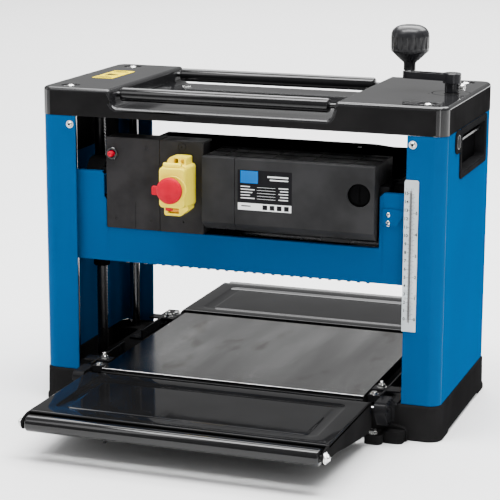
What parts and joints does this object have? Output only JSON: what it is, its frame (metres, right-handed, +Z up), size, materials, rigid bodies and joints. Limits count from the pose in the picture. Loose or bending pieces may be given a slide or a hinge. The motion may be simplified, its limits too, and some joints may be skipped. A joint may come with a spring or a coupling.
{
  "type": "thickness planer",
  "caption": "Benchtop thickness planer: a crank raises a powered cutting head on guide posts over a fixed bed with fold-up feed tables.",
  "frame": {"origin": "on the floor under the centre of the body", "axes": "+X to the right seen from the infeed side, +Y along the feed direction, +Z up"},
  "size_m": [0.516, 0.6974, 0.479],
  "materials": {
    "gloss_black": "glossy moulded black",
    "black_metal": "gloss black enamel",
    "blue_paint": "satin blue powder coat",
    "bed_steel": "satin ground",
    "chrome": "bright chrome",
    "cast_aluminium": "as cast and machined",
    "dark_steel": "black oxide",
    "scale_plate": "printed satin plate",
    "switch_yellow": "satin moulded yellow",
    "switch_red": "satin moulded red",
    "switch_green": "satin moulded green",
    "drive_rubber": "matt ribbed rubber"
  },
  "bodies": {
    "frame": {"base_casting": "gloss_black", "bed_plate": "bed_steel", "side_panel_left": "blue_paint", "side_panel_right": "blue_paint", "top_cover": "gloss_black", "guide_post_front_left": "chrome", "guide_post_front_right": "chrome", "guide_post_rear_left": "chrome", "guide_post_rear_right": "chrome", "carry_handle_left": "gloss_black", "carry_handle_right": "gloss_black", "height_scale": "scale_plate", "drive_chain": "dark_steel", "table_bracket_front_left": "black_metal", "table_bracket_front_right": "black_metal", "table_bracket_rear_left": "black_metal", "table_bracket_rear_right": "black_metal"},
    "crank": {"lead_screw_right": "dark_steel", "sprocket_right": "dark_steel", "crank_arm": "black_metal", "crank_clamp_screw": "chrome"},
    "knob": {"crank_knob": "gloss_black"},
    "left_screw": {"lead_screw_left": "dark_steel", "sprocket_left": "dark_steel"},
    "carriage": {"head_casting": "black_metal", "front_panel": "blue_paint", "switch_panel": "gloss_black", "motor_cover": "gloss_black", "head_cover": "gloss_black", "dust_chute": "gloss_black", "gear_cover": "gloss_black", "belt_cover": "gloss_black", "lead_nut_left": "black_metal", "lead_nut_right": "black_metal", "scale_pointer": "blue_paint", "motor_stator": "dark_steel", "brush_cap": "gloss_black", "drive_belt": "drive_rubber", "cutterhead_bearing_left": "chrome", "cutterhead_bearing_right": "chrome", "switch_body": "switch_yellow"},
    "cutter": {"cutterhead": "cast_aluminium", "cutterhead_pulley": "cast_aluminium", "knife_a": "chrome", "knife_b": "chrome"},
    "motor": {"motor_armature": "dark_steel"},
    "infeed_feed": {"infeed_feed_roller": "drive_rubber"},
    "outfeed_feed": {"outfeed_feed_roller": "drive_rubber"},
    "fingers": {"anti_kickback_fingers": "dark_steel"},
    "lid": {"switch_lid": "switch_yellow"},
    "mushroom": {"stop_mushroom": "switch_red"},
    "start": {"start_button": "switch_green"},
    "stop": {"stop_button": "switch_red"},
    "reset": {"reset_button": "switch_red"},
    "infeed": {"infeed_table": "black_metal"},
    "outfeed": {"outfeed_table": "black_metal"},
    "infeed_end": {"infeed_end_roller": "black_metal"},
    "outfeed_end": {"outfeed_end_roller": "black_metal"},
    "front_return": {"return_roller_front": "black_metal"},
    "rear_return": {"return_roller_rear": "black_metal"}
  },
  "joints": [
    {"name": "crank_turn", "type": "hinge", "parent": "frame", "child": "crank", "pos_m": [0.231, 0, 0.4], "axis": [0, 0, 1], "range_deg": [-5040, 21600]},
    {"name": "carriage_lift", "type": "slide", "parent": "frame", "child": "carriage", "axis": [0, 0, 1], "range_m": [-0.12, 0.028]},
    {"name": "left_screw_turn", "type": "hinge", "parent": "frame", "child": "left_screw", "pos_m": [-0.231, 0, 0.4], "axis": [0, 0, 1], "range_deg": [-5040, 21600]},
    {"name": "knob_spin", "type": "hinge", "parent": "crank", "child": "knob", "pos_m": [0.1765, 0.007, 0.424], "axis": [0, 0, 1], "continuous": true},
    {"name": "cutterhead_spin", "type": "hinge", "parent": "carriage", "child": "cutter", "pos_m": [0, 0.008, 0.2053], "axis": [1, 0, 0], "continuous": true},
    {"name": "motor_spin", "type": "hinge", "parent": "carriage", "child": "motor", "pos_m": [0, -0.076, 0.29], "axis": [1, 0, 0], "continuous": true},
    {"name": "infeed_feed_spin", "type": "hinge", "parent": "carriage", "child": "infeed_feed", "pos_m": [0, -0.04, 0.1943], "axis": [1, 0, 0], "continuous": true},
    {"name": "outfeed_feed_spin", "type": "hinge", "parent": "carriage", "child": "outfeed_feed", "pos_m": [0, 0.056, 0.1943], "axis": [1, 0, 0], "continuous": true},
    {"name": "finger_swing", "type": "hinge", "parent": "carriage", "child": "fingers", "pos_m": [0, -0.096, 0.203], "axis": [1, 0, 0], "range_deg": [0, 45]},
    {"name": "lid_swing", "type": "hinge", "parent": "carriage", "child": "lid", "pos_m": [-0.0705, -0.1505, 0.3175], "axis": [1, 0, 0], "range_deg": [-110, 0]},
    {"name": "mushroom_press", "type": "slide", "parent": "lid", "child": "mushroom", "axis": [0, 1, 0], "range_m": [0, 0.0027], "stiffness_N_per_m": 400},
    {"name": "start_press", "type": "slide", "parent": "carriage", "child": "start", "axis": [0, 1, 0], "range_m": [0, 0.003], "stiffness_N_per_m": 300},
    {"name": "stop_press", "type": "slide", "parent": "carriage", "child": "stop", "axis": [0, 1, 0], "range_m": [0, 0.003], "stiffness_N_per_m": 300},
    {"name": "reset_press", "type": "slide", "parent": "carriage", "child": "reset", "axis": [0, 1, 0], "range_m": [0, 0.003], "stiffness_N_per_m": 300},
    {"name": "infeed_table_fold", "type": "hinge", "parent": "frame", "child": "infeed", "pos_m": [0, -0.156, 0.045], "axis": [1, 0, 0], "range_deg": [-65, 0]},
    {"name": "outfeed_table_fold", "type": "hinge", "parent": "frame", "child": "outfeed", "pos_m": [0, 0.156, 0.045], "axis": [-1, 0, 0], "range_deg": [-65, 0]},
    {"name": "infeed_end_roller_spin", "type": "hinge", "parent": "infeed", "child": "infeed_end", "pos_m": [0, -0.339, 0.0433], "axis": [1, 0, 0], "continuous": true},
    {"name": "outfeed_end_roller_spin", "type": "hinge", "parent": "outfeed", "child": "outfeed_end", "pos_m": [0, 0.339, 0.0433], "axis": [1, 0, 0], "continuous": true},
    {"name": "front_return_spin", "type": "hinge", "parent": "frame", "child": "front_return", "pos_m": [0, -0.1, 0.3915], "axis": [1, 0, 0], "continuous": true},
    {"name": "rear_return_spin", "type": "hinge", "parent": "frame", "child": "rear_return", "pos_m": [0, 0.1, 0.3915], "axis": [1, 0, 0], "continuous": true}
  ],
  "couplings": [
    {"joint": "crank_turn", "follows": "carriage_lift", "rad_per_m": -3141.6},
    {"joint": "left_screw_turn", "follows": "carriage_lift", "rad_per_m": -3141.6},
    {"joint": "motor_spin", "follows": "cutterhead_spin", "ratio": 1.5},
    {"joint": "infeed_feed_spin", "follows": "cutterhead_spin", "ratio": -0.0094},
    {"joint": "outfeed_feed_spin", "follows": "cutterhead_spin", "ratio": -0.0094}
  ]
}
